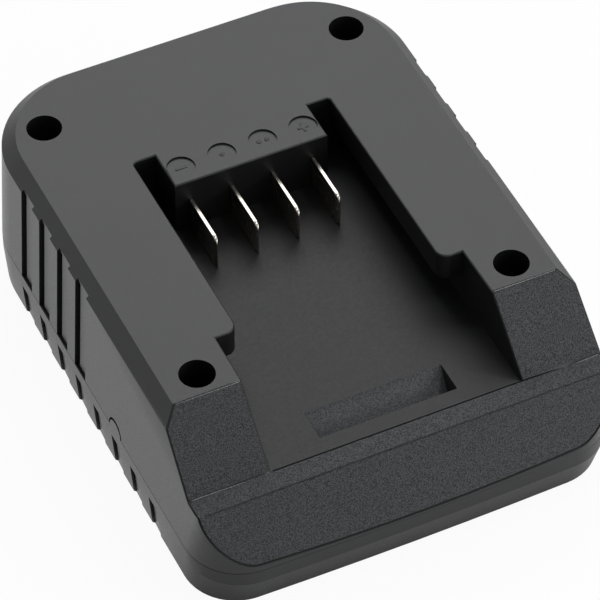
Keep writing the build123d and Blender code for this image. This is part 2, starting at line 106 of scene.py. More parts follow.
# Finish of the front: how near the lip a rounding counts as the lip's, the lengths into which
# rubbed edges are cut so that they shade evenly, where the shelf's groove runs out
LIP_REACH = 0.5 * MM
RUBBED_LENGTH = 3 * MM
RUBBED_CUTS = range(-16, 17)
GROOVE_END = TOP_HIGH.x - 2.0 * MM

# Screws: name, solid, radius and height of the head, radius of the thread
CASE_THREAD = 1.7 * MM
SCREWS = (
    ("case_screws", "housing_screws", 3.2 * MM, 2.4 * MM, CASE_THREAD),
    ("board_fixings", "board_screws", 2.6 * MM, 1.7 * MM, 1.4 * MM),
)
FOOT_RIM = 0.3 * MM
FOOT_DISH = 0.25 * MM

# Steps in a full turn: of screws and feet, of a pip, of a thread
ROUND_STEPS = 40
PIP_STEPS = 24
THREAD_STEPS = 24

# The part of their range that noise patterns use: soft ones and the craters of the textured front
NOISE_LOW, NOISE_HIGH = 0.3, 0.7
GRAIN_LOW, GRAIN_HIGH = 0.34, 0.66

# Soft lights: name, direction from the dock, distance, width, height, radiance
LAMPS = (
    ("back_softbox", (0.29, 0.62, 0.73), 1.3, 1.1, 0.8, 2.94),
    ("top_strip", (0.3, -0.2, 0.93), 0.8, 0.25, 0.1, 12.0),
    ("right_softbox", (0.65, -0.65, 0.4), 0.4, 0.3, 0.2, 2.6),
    ("left_softbox", (-0.73, 0.62, 0.29), 1.3, 0.8, 0.5, 0.8),
)
WORLD_LIGHT = 0.35

# The paper floor: its size, how white it is where it is seen, mirrored, and mirrored from the
# dock's shadow in front, with that shadow's place and reach
FLOOR_SIZE = 6.0
FLOOR_SEEN = 0.94
FLOOR_MIRRORED = 0.85
FLOOR_SHADED = 0.0
SHADOW_Y = TOP_LOW.y + 2 * MM
SHADOW_REACH = 30 * MM

# The photo's camera: sensor and lens in millimetres, clipping and place in metres, and its axes
CAMERA_SENSOR = 36.0
CAMERA_LENS = 263.65
CAMERA_CLIP = (0.05, 50.0)
CAMERA_PLACE = (-0.26685, -0.56335, 0.68369)
CAMERA_RIGHT = (0.90223, -0.43126, 0.0)
CAMERA_UP = (0.31541, 0.65986, 0.68198)
CAMERA_BACK = (-0.29411, -0.61530, 0.73137)


def linear(code):
    """An sRGB hex colour as linear red, green and blue."""
    channels = [int(code[i:i + 2], 16) / 255 for i in (1, 3, 5)]
    return tuple(c / 12.92 if c <= 0.04045 else ((c + 0.055) / 1.055) ** 2.4 for c in channels)


def shade(colour, factor):
    """A colour made darker or lighter."""
    return tuple(min(1.0, c * factor) for c in colour)


def per_metre(width):
    """The texture scale at which one pattern cell has this width in metres."""
    return 1.0 / width


def set_inputs(tree, node, inputs):
    """Sets a node's input sockets, and links those whose value is another node's socket."""
    for key, value in inputs.items():
        if isinstance(value, bpy.types.NodeSocket):
            tree.links.new(value, node.inputs[key])
        else:
            node.inputs[key].default_value = value


def add_node(tree, kind, settings=None, inputs=None, ramp=()):
    """Adds a node with its settings, its input sockets and its colour stops."""
    node = tree.nodes.new(kind)
    for key, value in (settings or {}).items():
        setattr(node, key, value)
    set_inputs(tree, node, inputs or {})
    for index, (position, colour) in enumerate(ramp):
        node.color_ramp.elements[index].position = position
        node.color_ramp.elements[index].color = (*colour, 1)
    return node


def new_material(name, kind="ShaderNodeBsdfPrincipled"):
    """A node material with only its shader, its output and its object coordinates."""
    material = bpy.data.materials.new(name)
    material.use_nodes = True
    tree = material.node_tree
    tree.nodes.clear()
    shader = add_node(tree, kind)
    add_node(tree, "ShaderNodeOutputMaterial", inputs={"Surface": shader.outputs[0]})
    place = add_node(tree, "ShaderNodeTexCoord").outputs["Object"]
    return material, tree, shader, place


def speckled(
    name, dark, light, width, roughness,
    metallic=0.0, relief=0.01 * MM, stretch=(1, 1, 1), ior=1.5, transmission=0.0,
):
    """A material that drifts between two colours over a fine pattern, with a matching relief."""
    material, tree, shader, place = new_material(name)
    stretched = add_node(
        tree, "ShaderNodeMapping", inputs={"Vector": place, "Scale": stretch}
    ).outputs[0]
    pattern = add_node(
        tree, "ShaderNodeTexNoise",
        inputs={"Vector": stretched, "Scale": per_metre(width), "Detail": 3.0},
    ).outputs["Fac"]
    colour = add_node(
        tree, "ShaderNodeValToRGB", inputs={"Fac": pattern},
        ramp=((NOISE_LOW, dark), (NOISE_HIGH, light)),
    ).outputs["Color"]
    rough = add_node(
        tree, "ShaderNodeMapRange",
        inputs={
            "Value": pattern, "From Min": NOISE_LOW, "From Max": NOISE_HIGH,
            "To Min": roughness * 0.85, "To Max": roughness * 1.15,
        },
    ).outputs["Result"]
    bump = add_node(
        tree, "ShaderNodeBump", inputs={"Strength": 0.3, "Distance": relief, "Height": pattern}
    ).outputs["Normal"]
    set_inputs(tree, shader, {"Base Color": colour, "Roughness": rough, "Normal": bump})
    if metallic:
        set_inputs(tree, shader, {"Metallic": metallic})
    else:
        set_inputs(tree, shader, {"IOR": ior, "Transmission Weight": transmission})
    return material


# ABS, injection moulded: an even black whose sheen breaks up into a barely visible bloom, with a
# slight cloud in the colour where the melt has flowed.
def moulded_abs(context, name, roughness, ior=1.5, tone=1.0):
    base = shade(context.scene.dock_colours.plastic, tone)
    material, tree, shader, place = new_material(name)
    cloud = add_node(
        tree, "ShaderNodeTexNoise",
        inputs={"Vector": place, "Scale": per_metre(14 * MM), "Detail": 4.0},
    ).outputs["Fac"]
    bloom = add_node(
        tree, "ShaderNodeTexNoise",
        inputs={"Vector": place, "Scale": per_metre(0.45 * MM), "Detail": 3.0},
    ).outputs["Fac"]
    colour = add_node(
        tree, "ShaderNodeValToRGB", inputs={"Fac": cloud},
        ramp=((NOISE_LOW, shade(base, 0.92)), (NOISE_HIGH, shade(base, 1.08))),
    ).outputs["Color"]
    rough = add_node(
        tree, "ShaderNodeMapRange",
        inputs={
            "Value": bloom, "From Min": NOISE_LOW, "From Max": NOISE_HIGH,
            "To Min": roughness - 0.04, "To Max": roughness + 0.04,
        },
    ).outputs["Result"]
    bump = add_node(
        tree, "ShaderNodeBump", inputs={"Strength": 0.2, "Distance": 0.015 * MM, "Height": bloom}
    ).outputs["Normal"]
    set_inputs(
        tree, shader, {"Base Color": colour, "Roughness": rough, "Normal": bump, "IOR": ior}
    )
    return material


# Against a vapour-blasted tool: satin, so that wide flats take on the pale grey of what they
# mirror.
def satin_abs(context):
    return moulded_abs(context, "moulded_satin_abs", 0.44)


# Against the bare sliding core that forms the slot: duller and with less gloss. Its deeper black
# is painted shade, given to the slot, the screw wells and the groove round the textured front.
def core_side_painted_shade_abs(context):
    return moulded_abs(context, "moulded_core_side_abs_painted_shade", 0.5, 1.43, 0.35)


# Satin edges that batteries and hands have rubbed smooth: glossier, seen as thin light lines.
def rubbed_abs(context):
    return moulded_abs(context, "moulded_rubbed_edge_abs", 0.26)


# Against the tool's side walls, which are polished so that the shell lets go: smoother than the
# top, so that at a slant it mirrors the floor.
def wall_abs(context):
    return moulded_abs(context, "moulded_polished_wall_abs", 0.36)


# ABS moulded against a spark-eroded tool face: a matt black of tiny craters, seen as fine pepper.
# The craters are drawn about twice as wide as real ones, so that they show in the picture. A foot
# over 1 is painted light: it makes the plastic that much paler at the latch pocket's bottom, and
# less above it, against the shade that falls in the pocket.
def eroded_abs(context, name, tone=1.0, widening=1.0, contrast=(0.45, 1.6), foot=1.0):
    base = shade(context.scene.dock_colours.textured_plastic, tone)
    width = context.scene.dock_sizes.grain_width * widening
    dark, light = (shade(base, factor) for factor in contrast)
    material, tree, shader, place = new_material(name)
    grain = add_node(
        tree, "ShaderNodeTexNoise",
        inputs={"Vector": place, "Scale": per_metre(width), "Detail": 1.0},
    ).outputs["Fac"]
    colour = add_node(
        tree, "ShaderNodeValToRGB", inputs={"Fac": grain},
        ramp=((GRAIN_LOW, dark), (GRAIN_HIGH, light)),
    ).outputs["Color"]
    # Painted light: the colour grows paler towards the latch pocket's bottom, where its shade is
    # deepest.
    if foot > 1.0:
        level = add_node(tree, "ShaderNodeSeparateXYZ", inputs={0: place}).outputs["Z"]
        painted_light_factor = add_node(
            tree, "ShaderNodeMapRange",
            inputs={
                "Value": level, "From Min": SLOT_FLOOR - LATCH_DEPTH, "From Max": SLOT_FLOOR,
                "To Min": foot, "To Max": 1.0,
            },
        ).outputs["Result"]
        colour = add_node(
            tree, "ShaderNodeVectorMath", {"operation": "SCALE"}, {0: colour, "Scale": painted_light_factor}
        ).outputs[0]
    rough = add_node(
        tree, "ShaderNodeMapRange",
        inputs={
            "Value": grain, "From Min": GRAIN_LOW, "From Max": GRAIN_HIGH,
            "To Min": 0.9, "To Max": 0.75,
        },
    ).outputs["Result"]
    bump = add_node(
        tree, "ShaderNodeBump", inputs={"Strength": 0.7, "Distance": 0.08 * MM, "Height": grain}
    ).outputs["Normal"]
    set_inputs(
        tree, shader, {"Base Color": colour, "Roughness": rough, "Normal": bump, "IOR": 1.4}
    )
    return material


# The front: an even dark pepper.
def spark_abs(context):
    return eroded_abs(context, "moulded_spark_eroded_abs")


# The latch pocket's ramp, eroded coarser, with painted light: its colour is made paler overall and
# most towards its foot, so that it stays about as light as the slot floor beside it, although it
# lies in the pocket's shade.
def coarse_abs(context):
    return eroded_abs(context, "moulded_coarse_eroded_abs_with_painted_light", 1.5, 1.3, (0.65, 1.35), 2.4)


# Epoxy solder mask over etched copper on glass laminate: glossy green, with the tracks and the
# bare laminate between them seen as a darker grid under the mask.
def masked_laminate():
    material, tree, shader, place = new_material("solder_mask_on_laminate")
    tracks = add_node(
        tree, "ShaderNodeTexBrick", {"offset": 0.4},
        {
            "Vector": place, "Scale": 1.0, "Mortar Size": 0.18 * MM,
            "Brick Width": 6.5 * MM, "Row Height": 2.1 * MM,
            "Color1": (*linear("#1f6b3c"), 1), "Color2": (*linear("#1a5f35"), 1),
            "Mortar": (*linear("#0f3d22"), 1),
        },
    ).outputs
    ripple = add_node(
        tree, "ShaderNodeTexNoise", inputs={"Vector": place, "Scale": per_metre(3 * MM)}
    ).outputs["Fac"]
    rough = add_node(
        tree, "ShaderNodeMapRange", inputs={"Value": ripple, "To Min": 0.18, "To Max": 0.32}
    ).outputs["Result"]
    bump = add_node(
        tree, "ShaderNodeBump", {"invert": True},
        {"Strength": 0.4, "Distance": 0.035 * MM, "Height": tracks["Fac"]},
    ).outputs["Normal"]
    set_inputs(
        tree, shader, {"Base Color": tracks["Color"], "Roughness": rough, "Normal": bump}
    )
    return material


def dress(node, material):
    """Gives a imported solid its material, in place of the plain one it came with."""
    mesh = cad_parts[node].data
    mesh.materials.clear()
    mesh.materials.append(material)


def finish_piece(bm, name, materials, node, crease=CREASE):
    """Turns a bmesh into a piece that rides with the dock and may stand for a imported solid."""
    for edge in bm.edges:
        edge.smooth = edge.calc_face_angle(pi) < crease
    for face in bm.faces:
        face.smooth = True
    mesh = bpy.data.meshes.new(name)
    bm.to_mesh(mesh)
    bm.free()
    for material in materials:
        mesh.materials.append(material)
    piece = bpy.data.objects.new(name, mesh)
    bpy.context.scene.collection.objects.link(piece)
    weighted = piece.modifiers.new("even_faces", "WEIGHTED_NORMAL")
    weighted.keep_sharp = True
    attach(piece, "root")
    if node:
        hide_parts(node)


def merged_solid(node):
    """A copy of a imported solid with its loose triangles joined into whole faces."""
    bm = bmesh.new()
    bm.from_mesh(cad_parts[node].data)
    bmesh.ops.remove_doubles(bm, verts=bm.verts, dist=MERGE)
    bmesh.ops.dissolve_limit(
        bm, angle_limit=radians(0.1), verts=bm.verts, edges=bm.edges, delimit=set()
    )
    return bm


def cut(bm, faces, point, normal):
    """Splits faces along a plane."""
    edges = dict.fromkeys(e for f in faces for e in f.edges)
    verts = dict.fromkeys(v for e in edges for v in e.verts)
    bmesh.ops.bisect_plane(
        bm, geom=[*verts, *edges, *faces], dist=MERGE, plane_co=point, plane_no=normal
    )


def round_edges(bm, radius, segments, chosen):
    """Rounds the edges that a test picks out, and gives the faces that this makes."""
    edges = [e for e in bm.edges if e.is_manifold and chosen(e)]
    made = bmesh.ops.bevel(
        bm, geom=edges, offset=radius, offset_type="OFFSET", affect="EDGES", segments=segments,
        profile=0.5, material=-1, clamp_overlap=False, loop_slide=False,
    )
    return made["faces"]


def flatten_wide_faces(bm, chosen):
    """Gives each wide flat that a test picks out a thin border, which keeps its shading even."""
    left = dict.fromkeys(f for f in bm.faces if chosen(f))
    flats = []
    while left:
        flat = [left.popitem()[0]]
        for face in flat:
            joints = [e for e in face.edges if e.calc_face_angle(pi) < FLAT_TILT]
            found = dict.fromkeys(f for e in joints for f in e.link_faces if f in left)
            for other in found:
                del left[other]
            flat.extend(found)
        if sum(f.calc_area() for f in flat) > FLAT_AREA:
            flats.append(flat)
    for flat in flats:
        bmesh.ops.inset_region(
            bm, faces=flat, thickness=FLAT_BORDER, depth=0.0,
            use_boundary=True, use_even_offset=True,
        )


def is_sharp(edge):
    """Whether the faces on an edge meet at a clear angle."""
    return edge.calc_face_angle(0.0) > radians(20)


def middle(edge):
    """The point halfway along an edge."""
    return (edge.verts[0].co + edge.verts[1].co) / 2


def is_in_well(point):
    """Whether a point is in or on one of the screw wells in the top face."""
    across = abs(point.x) - WELL_X
    along = min((point.y - y for y in WELL_YS), key=abs)
    return Vector((across, along)).length < WELL_RADIUS + NEAR


def verts_in(geom):
    """The corners among the parts of a mesh."""
    return [v for v in geom if isinstance(v, bmesh.types.BMVert)]


def turned(bm, points, steps=ROUND_STEPS):
    """A half section in X and Z turned round the Z axis, with its ends closed on the axis."""
    verts = [bm.verts.new((x, 0, z)) for x, z in points]
    edges = [bm.edges.new(pair) for pair in zip(verts, verts[1:])]
    bmesh.ops.spin(
        bm, geom=verts + edges, cent=(0, 0, 0), axis=(0, 0, 1), angle=2 * pi, steps=steps,
        use_merge=True,
    )
    bmesh.ops.remove_doubles(bm, verts=bm.verts, dist=MERGE)
    bmesh.ops.recalc_face_normals(bm, faces=bm.faces)


def copies_at(bm, places):
    """Puts a copy of everything in a bmesh at each place, and takes the original away."""
    original = bm.verts[:] + bm.edges[:] + bm.faces[:]
    for place in places:
        made = bmesh.ops.duplicate(bm, geom=original)["geom"]
        bmesh.ops.translate(bm, verts=verts_in(made), vec=place)
    bmesh.ops.delete(bm, geom=verts_in(original), context="VERTS")


class DockSizes(bpy.types.PropertyGroup):
    """Sizes of the finish that the solids leave open"""

    edge_radius: FloatProperty(
        name="Edge radius", description="Rounding of the upper shell's open edges",
        default=0.35 * MM, min=0.0, subtype="DISTANCE", unit="LENGTH",
    )
    groove_width: FloatProperty(
        name="Groove width",
        description="Half width of the fine groove at the shelf's edge, and depth behind the lip",
        default=0.26 * MM, min=0.0, subtype="DISTANCE", unit="LENGTH",
    )
    outline_depth: FloatProperty(
        name="Outline depth", description="Depth of the fine groove round the textured front",
        default=0.35 * MM, min=0.0, subtype="DISTANCE", unit="LENGTH",
    )
    grain_width: FloatProperty(
        name="Grain width", description="Width of the craters in the textured front",
        default=0.24 * MM, min=0.05 * MM, subtype="DISTANCE", unit="LENGTH",
    )
    blade_edge: FloatProperty(
        name="Blade edge", description="Rounding of the contact blades' stamped edges",
        default=0.12 * MM, min=0.0, subtype="DISTANCE", unit="LENGTH",
    )
    sign_width: FloatProperty(
        name="Sign stroke", description="Width of the raised strokes on the terminal marks",
        default=0.6 * MM, min=0.1 * MM, subtype="DISTANCE", unit="LENGTH",
    )
    sign_length: FloatProperty(
        name="Sign length", description="Length of the raised strokes on the terminal marks",
        default=2.6 * MM, min=0.1 * MM, subtype="DISTANCE", unit="LENGTH",
    )
    sign_height: FloatProperty(
        name="Sign height",
        description="Height of the raised strokes and pips on the terminal marks",
        default=0.12 * MM, min=0.05 * MM, subtype="DISTANCE", unit="LENGTH",
    )
    thread_pitch: FloatProperty(
        name="Thread pitch", description="Rise of a case screw's thread in one turn",
        default=1.3 * MM, min=0.2 * MM, subtype="DISTANCE", unit="LENGTH",
    )


class DockColours(bpy.types.PropertyGroup):
    """Colours of the finishes"""

    plastic: FloatVectorProperty(
        name="Plastic", description="Satin black of the housing", subtype="COLOR",
        default=linear("#1b1c1e"), min=0.0, max=1.0,
    )
    textured_plastic: FloatVectorProperty(
        name="Textured plastic", description="Matt black of the spark-textured front",
        subtype="COLOR", default=linear("#404143"), min=0.0, max=1.0,
    )
    nickel: FloatVectorProperty(
        name="Nickel", description="Plating of the contact blades", subtype="COLOR",
        default=linear("#d6d2c8"), min=0.0, max=1.0,
    )
    rubber: FloatVectorProperty(
        name="Rubber", description="Black of the feet", subtype="COLOR",
        default=linear("#1c1c1d"), min=0.0, max=1.0,
    )
    steel: FloatVectorProperty(
        name="Steel", description="Black zinc of the screws", subtype="COLOR",
        default=linear("#55565a"), min=0.0, max=1.0,
    )


class DOCK_OT_top_housing(bpy.types.Operator):
    """Rounds the upper shell's edges and gives its faces their finishes"""

    bl_idname = "dock.top_housing"
    bl_label = "Top housing"

    @staticmethod
    def finish_of(face):
        """Which finish a face has from the mould, with painted shade in the screw wells and the
        slot.
        """
        centre = face.calc_center_median()
        normal = face.normal
        slopes_forward = normal.y < -0.4 and 0.3 < normal.z < 0.8
        if slopes_forward:
            return RAMP if centre.y > LIP_Y and centre.z < SLOT_FLOOR else TEXTURED
        on_shelf = abs(centre.z - SLOT_FLOOR) < NEAR and centre.y < LIP_Y
        if on_shelf and normal.z > LEVEL:
            return TEXTURED
        # Painted shade: the screw wells and the slot take the darkened core finish.
        if is_in_well(centre):
            return CORE_SIDE_PAINTED_SHADE
        beside_slot = LIP_Y < centre.y < SLOT_BACK and abs(centre.x) < SLOT_HALF
        in_slot = SLOT_FLOOR - NEAR < centre.z < MARK_FLOOR - NEAR and normal.z > -0.5
        if beside_slot and in_slot:
            return CORE_SIDE_PAINTED_SHADE
        return WALL if abs(normal.z) < STEEP else SATIN

    @staticmethod
    def is_rounded(edge):
        """Whether an edge is one of the open edges of the top face or of the textured front."""
        if not is_sharp(edge):
            return False
        centre = middle(edge)
        faces = edge.link_faces
        if all(abs(v.co.z - TOP) < NEAR for v in edge.verts):
            by_mark = abs(centre.y - MARK_Y) < MARK_RADIUS + NEAR
            in_mark = by_mark and abs(centre.x) < TONGUE_HALF - 4 * NEAR
            on_chamfer = all(f.normal.z > 0.5 and f.material_index == SATIN for f in faces)
            return not (in_mark or on_chamfer or is_in_well(centre))
        textured = sum(f.material_index == TEXTURED for f in faces)
        return textured == (2 if abs(centre.y - LIP_Y) < NEAR else 1)

    @staticmethod
    def sink_outline(bm, rounded, depth):
        """Presses the roundings round the textured front, save its top and lip, into a groove."""
        strips = set()
        for face in rounded:
            centre = face.calc_center_median()
            off_lip = max(abs(centre.y - LIP_Y), abs(centre.z - SLOT_FLOOR))
            if centre.y > SLOPE_TOP_Y:
                face.material_index = SATIN
            elif centre.z > CHAMFER_FOOT or off_lip < LIP_REACH:
                face.material_index = RUBBED
            else:
                # Painted shade: the groove's strips take the darkened core finish, so that the
                # groove reads as a dark line.
                face.material_index = CORE_SIDE_PAINTED_SHADE
                strips.add(face)
        for step in RUBBED_CUTS:
            edges = [f for f in bm.faces if f.material_index == RUBBED]
            cut(bm, edges, (step * RUBBED_LENGTH, 0, 0), (1, 0, 0))
        bm.normal_update()
        inner = {v for f in strips for v in f.verts if strips.issuperset(v.link_faces)}
        for vert, normal in [(v, v.normal.copy()) for v in inner]:
            vert.co -= normal * depth

    @staticmethod
    def cut_groove(bm, width):
        """Sinks a fine groove along the shelf's front edge, which runs out before the walls."""
        edge = Vector((0, SHELF_Y, SLOT_FLOOR))
        side = Vector((1, 0, 0))
        back = Vector((0, 1, 0))
        down = -Vector((0, SHELF_Y - TOP_LOW.y, SLOT_FLOOR - SEAM)).normalized()
        ends = (-GROOVE_END, width - GROOVE_END, GROOVE_END - width, GROOVE_END)
        planes = [(side * x, side) for x in ends]
        planes += [(edge + back * width, back), (edge + down * width, down)]
        for point, normal in planes:
            textured = [f for f in bm.faces if f.material_index == TEXTURED]
            front = [f for f in textured if f.calc_center_median().y < LIP_Y]
            cut(bm, front, point, normal)
        on_edge = [v for v in bm.verts if (v.co.yz - edge.yz).length < NEAR]
        sunk = [v for v in on_edge if abs(v.co.x) < GROOVE_END - width / 2]
        bmesh.ops.translate(bm, verts=sunk, vec=(0, width / 2, -1.4 * width))

    @staticmethod
    def raise_gap(bm, depth):
        """Lifts the bottom of the gap behind the lip, so that it is seen as a fine line."""
        for vert in bm.verts:
            x, y, z = vert.co
            behind_lip = -NEAR < y - LIP_Y < GAP_WIDTH + NEAR and abs(x) < SLOT_HALF
            if behind_lip and SLOT_FLOOR - GAP_DEPTH - NEAR < z < SLOT_FLOOR - NEAR:
                vert.co.z = SLOT_FLOOR - depth

    def execute(self, context):
        sizes = context.scene.dock_sizes
        bm = merged_solid("top_housing")
        level = [f for f in bm.faces if f.normal.z > LEVEL]
        floor = [f for f in level if abs(f.calc_center_median().z - SLOT_FLOOR) < NEAR]
        cut(bm, floor, (0, LIP_Y, 0), (0, 1, 0))
        for face in bm.faces:
            face.material_index = self.finish_of(face)
        rounded = round_edges(bm, sizes.edge_radius, 3, self.is_rounded)
        self.sink_outline(bm, rounded, sizes.outline_depth)
        self.cut_groove(bm, sizes.groove_width)
        self.raise_gap(bm, sizes.groove_width)
        flatten_wide_faces(bm, lambda f: f.normal.z > LEVEL or f.material_index == TEXTURED)
        finishes = (satin_abs, spark_abs, core_side_painted_shade_abs, coarse_abs, rubbed_abs, wall_abs)
        materials = [make(context) for make in finishes]
        finish_piece(bm, "upper_shell", materials, "top_housing")
        return {"FINISHED"}


class DOCK_OT_bottom_housing(bpy.types.Operator):
    """Gives the lower shell its satin faces and its polished walls"""

    bl_idname = "dock.bottom_housing"
    bl_label = "Bottom housing"

    def execute(self, context):
        bm = merged_solid("bottom_housing")
        for face in bm.faces:
            face.material_index = 1 if abs(face.normal.z) < STEEP else 0
        materials = [satin_abs(context), wall_abs(context)]
        finish_piece(
            bm, "lower_shell", materials, "bottom_housing", SHALLOW_CREASE
        )
        return {"FINISHED"}


class DOCK_OT_contact_blades(bpy.types.Operator):
    """Rounds the contact blades' edges and gives them their plated finish"""

    bl_idname = "dock.contact_blades"
    bl_label = "Contact blades"

    def execute(self, context):
        nickel = tuple(context.scene.dock_colours.nickel)
        # Nickel-plated copper strip, rolled and stamped: bright, with fine rolling streaks along
        # the blade.
        plated = speckled(
            "nickel_plated_strip", shade(nickel, 0.8), nickel, 0.3 * MM, 0.24, 1.0,
            relief=0.004 * MM, stretch=(1, 0.08, 1),
        )
        for node in BLADE_NODES:
            bm = merged_solid(node)
            round_edges(bm, context.scene.dock_sizes.blade_edge, 2, is_sharp)
            name = node.replace("blade", "contact")
            finish_piece(bm, name, [plated], node, COARSE_CREASE)
        return {"FINISHED"}


class DOCK_OT_terminal_signs(bpy.types.Operator):
    """Puts a raised sign on each terminal mark: minus, one pip, two pips and plus"""

    bl_idname = "dock.terminal_signs"
    bl_label = "Terminal signs"

    @staticmethod
    def stroke_sign(sizes, directions):
        """A square stub drawn out sideways into a minus or a plus."""
        bm = bmesh.new()
        half = sizes.sign_width / 2
        rise = Matrix.Translation((0, 0, sizes.sign_height / 2))
        size = Matrix.Diagonal((sizes.sign_width, sizes.sign_width, sizes.sign_height, 1))
        bmesh.ops.create_cube(bm, size=1.0, matrix=rise @ size)
        for direction in directions:
            side = next(f for f in bm.faces if f.normal.dot(Vector(direction)) > 0.9)
            made = bmesh.ops.extrude_discrete_faces(bm, faces=[side])["faces"][0]
            reach = Vector(direction) * (sizes.sign_length / 2 - half)
            bmesh.ops.translate(bm, verts=made.verts, vec=reach)
        round_edges(bm, sizes.sign_height / 4, 2, is_sharp)
        return bm

    @staticmethod
    def pip_sign(sizes, places):
        """Round pips with a softened crown."""
        bm = bmesh.new()
        height = sizes.sign_height
        radius = sizes.sign_width * 0.9
        flat = radius * 0.75
        section = ((0, 0), (radius, 0), (radius, height / 4), (flat, height), (0, height))
        turned(bm, section, PIP_STEPS)
        copies_at(bm, places)
        return bm

    def execute(self, context):
        sizes = context.scene.dock_sizes
        material = satin_abs(context)
        step = sizes.sign_width * 1.5
        across = ((1, 0, 0), (-1, 0, 0))
        signs = (
            self.stroke_sign(sizes, across),
            self.pip_sign(sizes, ((0, 0, 0),)),
            self.pip_sign(sizes, ((-step, 0, 0), (step, 0, 0))),
            self.stroke_sign(sizes, (*across, (0, 1, 0), (0, -1, 0))),
        )
        for node, bm in zip(BLADE_NODES, signs):
            low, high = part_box(node)
            place = ((low.x + high.x) / 2, MARK_Y, MARK_FLOOR - NEAR)
            bmesh.ops.translate(bm, verts=bm.verts, vec=place)
            name = node.replace("blade", "sign")
            finish_piece(bm, name, [material], None, COARSE_CREASE)
        return {"FINISHED"}


class DOCK_OT_screws(bpy.types.Operator):
    """Makes the pan-head screws with their cross recess and thread"""

    bl_idname = "dock.screws"
    bl_label = "Screws"

    @staticmethod
    def crossed_top(bm, radius, head_radius, head_height):
        """The flat round top of a pan head, with a tapered cross sunk into it."""
        level = Matrix.Translation((0, 0, head_height))
        bmesh.ops.create_circle(
            bm, cap_ends=True, segments=ROUND_STEPS, radius=radius, matrix=level
        )
        half_slot = head_radius * 0.11
        half_cross = head_radius * 0.56
        for axis in (Vector((1, 0, 0)), Vector((0, 1, 0))):
            for offset in (-half_cross, -half_slot, half_slot, half_cross):
                cut(bm, bm.faces[:], axis * offset, axis)
        cross = []
        for face in bm.faces:
            centre = face.calc_center_median()
            near, far = sorted((abs(centre.x), abs(centre.y)))
            if near < half_slot and far < half_cross:
                cross.append(face)
        sunk = verts_in(bmesh.ops.extrude_face_region(bm, geom=cross)["geom"])
        bmesh.ops.translate(bm, verts=sunk, vec=(0, 0, -0.6 * head_height))
        bmesh.ops.scale(bm, verts=sunk, vec=(0.7, 0.7, 1))
        bmesh.ops.delete(bm, geom=[f for f in cross if f.is_valid], context="FACES_ONLY")

    @staticmethod
    def thread(bm, core, radius, pitch, length):
        """A sharp ridge wound round a screw's core."""
        root = core * 0.9
        section = ((root, 0, -pitch * 0.3), (radius, 0, -pitch * 0.5), (root, 0, -pitch * 0.7))
        crest = [bm.verts.new(place) for place in section]
        ridge = [bm.edges.new(pair) for pair in zip(crest, crest[1:])]
        turns = int((length - pitch) / pitch)
        bmesh.ops.spin(
            bm, geom=crest + ridge, cent=(0, 0, 0), axis=(0, 0, 1),
            dvec=(0, 0, -pitch / THREAD_STEPS), angle=2 * pi * turns, steps=THREAD_STEPS * turns,
        )
        bmesh.ops.recalc_face_normals(bm, faces=bm.faces)

    def screw(self, head_radius, head_height, radius, reach, pitch):
        """One pan-head screw that stands on its seat at the origin."""
        bm = bmesh.new()
        flat = head_radius * 0.68
        core = radius * 0.78
        shank = reach - 2 * core
        self.crossed_top(bm, flat, head_radius, head_height)
        turned(
            bm,
            (
                (flat, head_height), (head_radius * 0.88, head_height * 0.82),
                (head_radius, head_height * 0.5), (head_radius, 0),
                (core, 0), (core, -shank), (0, -reach),
            ),
        )
        self.thread(bm, core, radius, pitch, shank)
        return bm

    def execute(self, context):
        steel = tuple(context.scene.dock_colours.steel)
        # Cold-headed steel in black zinc: dark grey metal with a soft sheen and faint clouds.
        zinc = speckled("black_zinc_steel", shade(steel, 0.7), steel, 0.8 * MM, 0.38, 1.0)
        for name, node, head_radius, head_height, radius in SCREWS:
            low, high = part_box(node)
            seat = high.z - head_height
            pitch = context.scene.dock_sizes.thread_pitch * radius / CASE_THREAD
            bm = self.screw(head_radius, head_height, radius, seat - low.z, pitch)
            xs = (low.x + head_radius, high.x - head_radius)
            ys = (low.y + head_radius, high.y - head_radius)
            copies_at(bm, [(x, y, seat) for x in xs for y in ys])
            finish_piece(bm, name, [zinc], node)
        return {"FINISHED"}


class DOCK_OT_feet(bpy.types.Operator):
    """Makes the rubber feet with a rounded rim and a dished sole"""

    bl_idname = "dock.feet"
    bl_label = "Feet"

    def execute(self, context):
        rubber = tuple(context.scene.dock_colours.rubber)
        # Compression-moulded rubber: dull black with a dusty bloom and a fine pebble.
        material = speckled(
            "moulded_rubber", rubber, shade(rubber, 1.7), 0.5 * MM, 0.8, relief=0.03 * MM
        )
        for node in FOOT_NODES:
            low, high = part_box(node)
            radius = (high.x - low.x) / 2
            height = high.z - low.z
            bm = bmesh.new()
            turned(
                bm,
                (
                    (0, height), (radius, height), (radius, FOOT_RIM),
                    (radius - FOOT_RIM * 0.3, FOOT_RIM * 0.3), (radius - FOOT_RIM, 0),
                    (radius * 0.62, 0), (radius * 0.5, FOOT_DISH), (0, FOOT_DISH),
                ),
            )
            place = ((low.x + high.x) / 2, (low.y + high.y) / 2, low.z)
            bmesh.ops.translate(bm, verts=bm.verts, vec=place)
            finish_piece(bm, node.replace("foot", "pad"), [material], node)
        return {"FINISHED"}


class DOCK_OT_inlet(bpy.types.Operator):
    """Gives the low-voltage inlet, the blades' carrier and the fuse clips their finishes"""

    bl_idname = "dock.inlet"
    bl_label = "Low-voltage inlet"

    def execute(self, context):
        # Glass-filled nylon: black with a dry sheen and a slight mottle of fibre at the skin.
        nylon = speckled(
            "glass_filled_nylon", linear("#1b1b1c"), linear("#29292b"), 0.7 * MM, 0.5
        )
        # Tinned brass, turned or stamped: pale metal with fine tool marks.
        tinned = speckled(
            "tinned_brass", linear("#b9b2a0"), linear("#d8d2c2"), 0.2 * MM, 0.3, 1.0,
            stretch=(1, 0.1, 1),
        )
        for node in ("inlet_body", "terminal_carrier"):
            dress(node, nylon)
        for node in ("inlet_pin", "inlet_spring", "fuse_clips"):
            dress(node, tinned)
        return {"FINISHED"}


